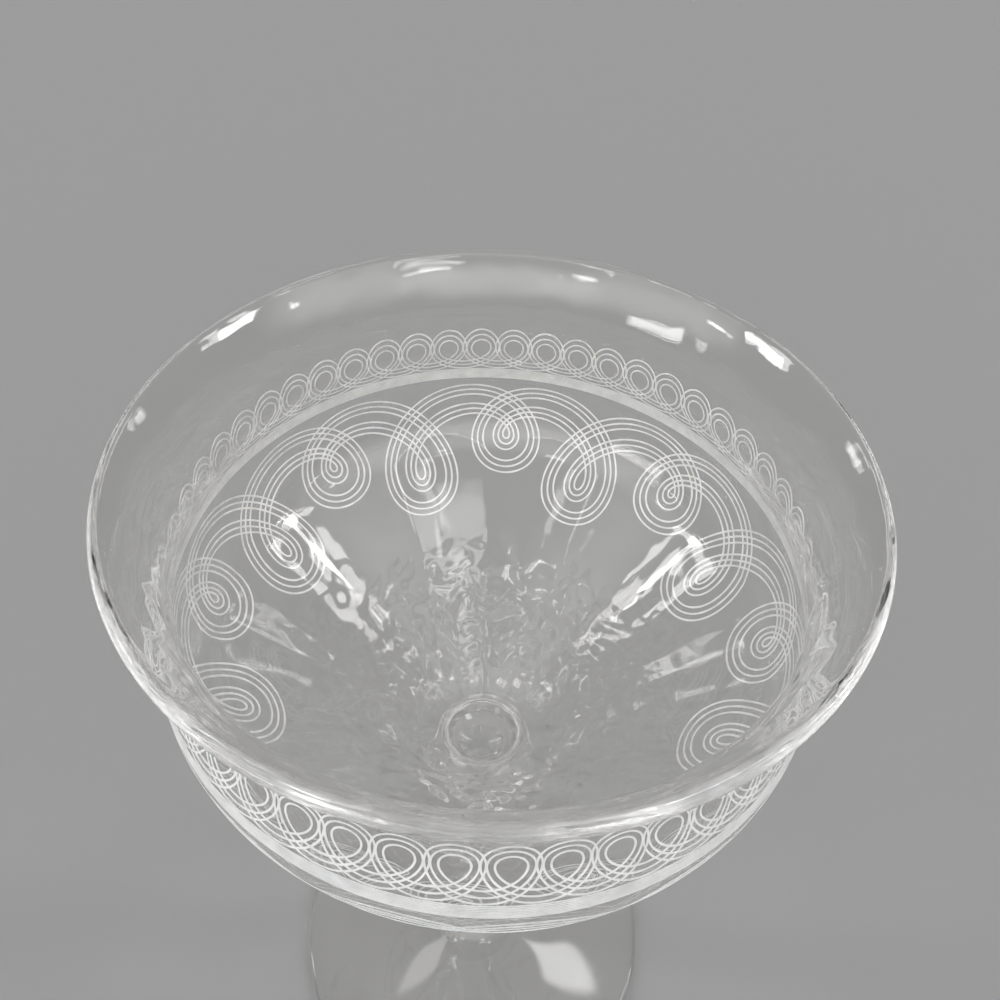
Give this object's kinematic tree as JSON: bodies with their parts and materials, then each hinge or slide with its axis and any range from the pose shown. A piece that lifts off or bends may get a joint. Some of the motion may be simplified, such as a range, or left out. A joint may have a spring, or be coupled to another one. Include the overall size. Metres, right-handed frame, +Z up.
{
  "type": "coupe glass",
  "caption": "Clear stemmed coupe glass with a flared rim, a waisted bowl with flat optic panels inside, a collar, a slim stem and a round foot, for drinks or desserts.",
  "frame": {"origin": "centre of the foot's resting plane, on the glass's axis", "axes": "+Z up along the axis of the stem, +Y away from the picture's camera"},
  "size_m": [0.092, 0.092, 0.1425],
  "materials": {
    "clear_glass": "polished, colourless"
  },
  "bodies": {
    "root": {"bowl": "clear_glass", "collar": "clear_glass", "stem": "clear_glass", "foot": "clear_glass"}
  },
  "joints": []
}
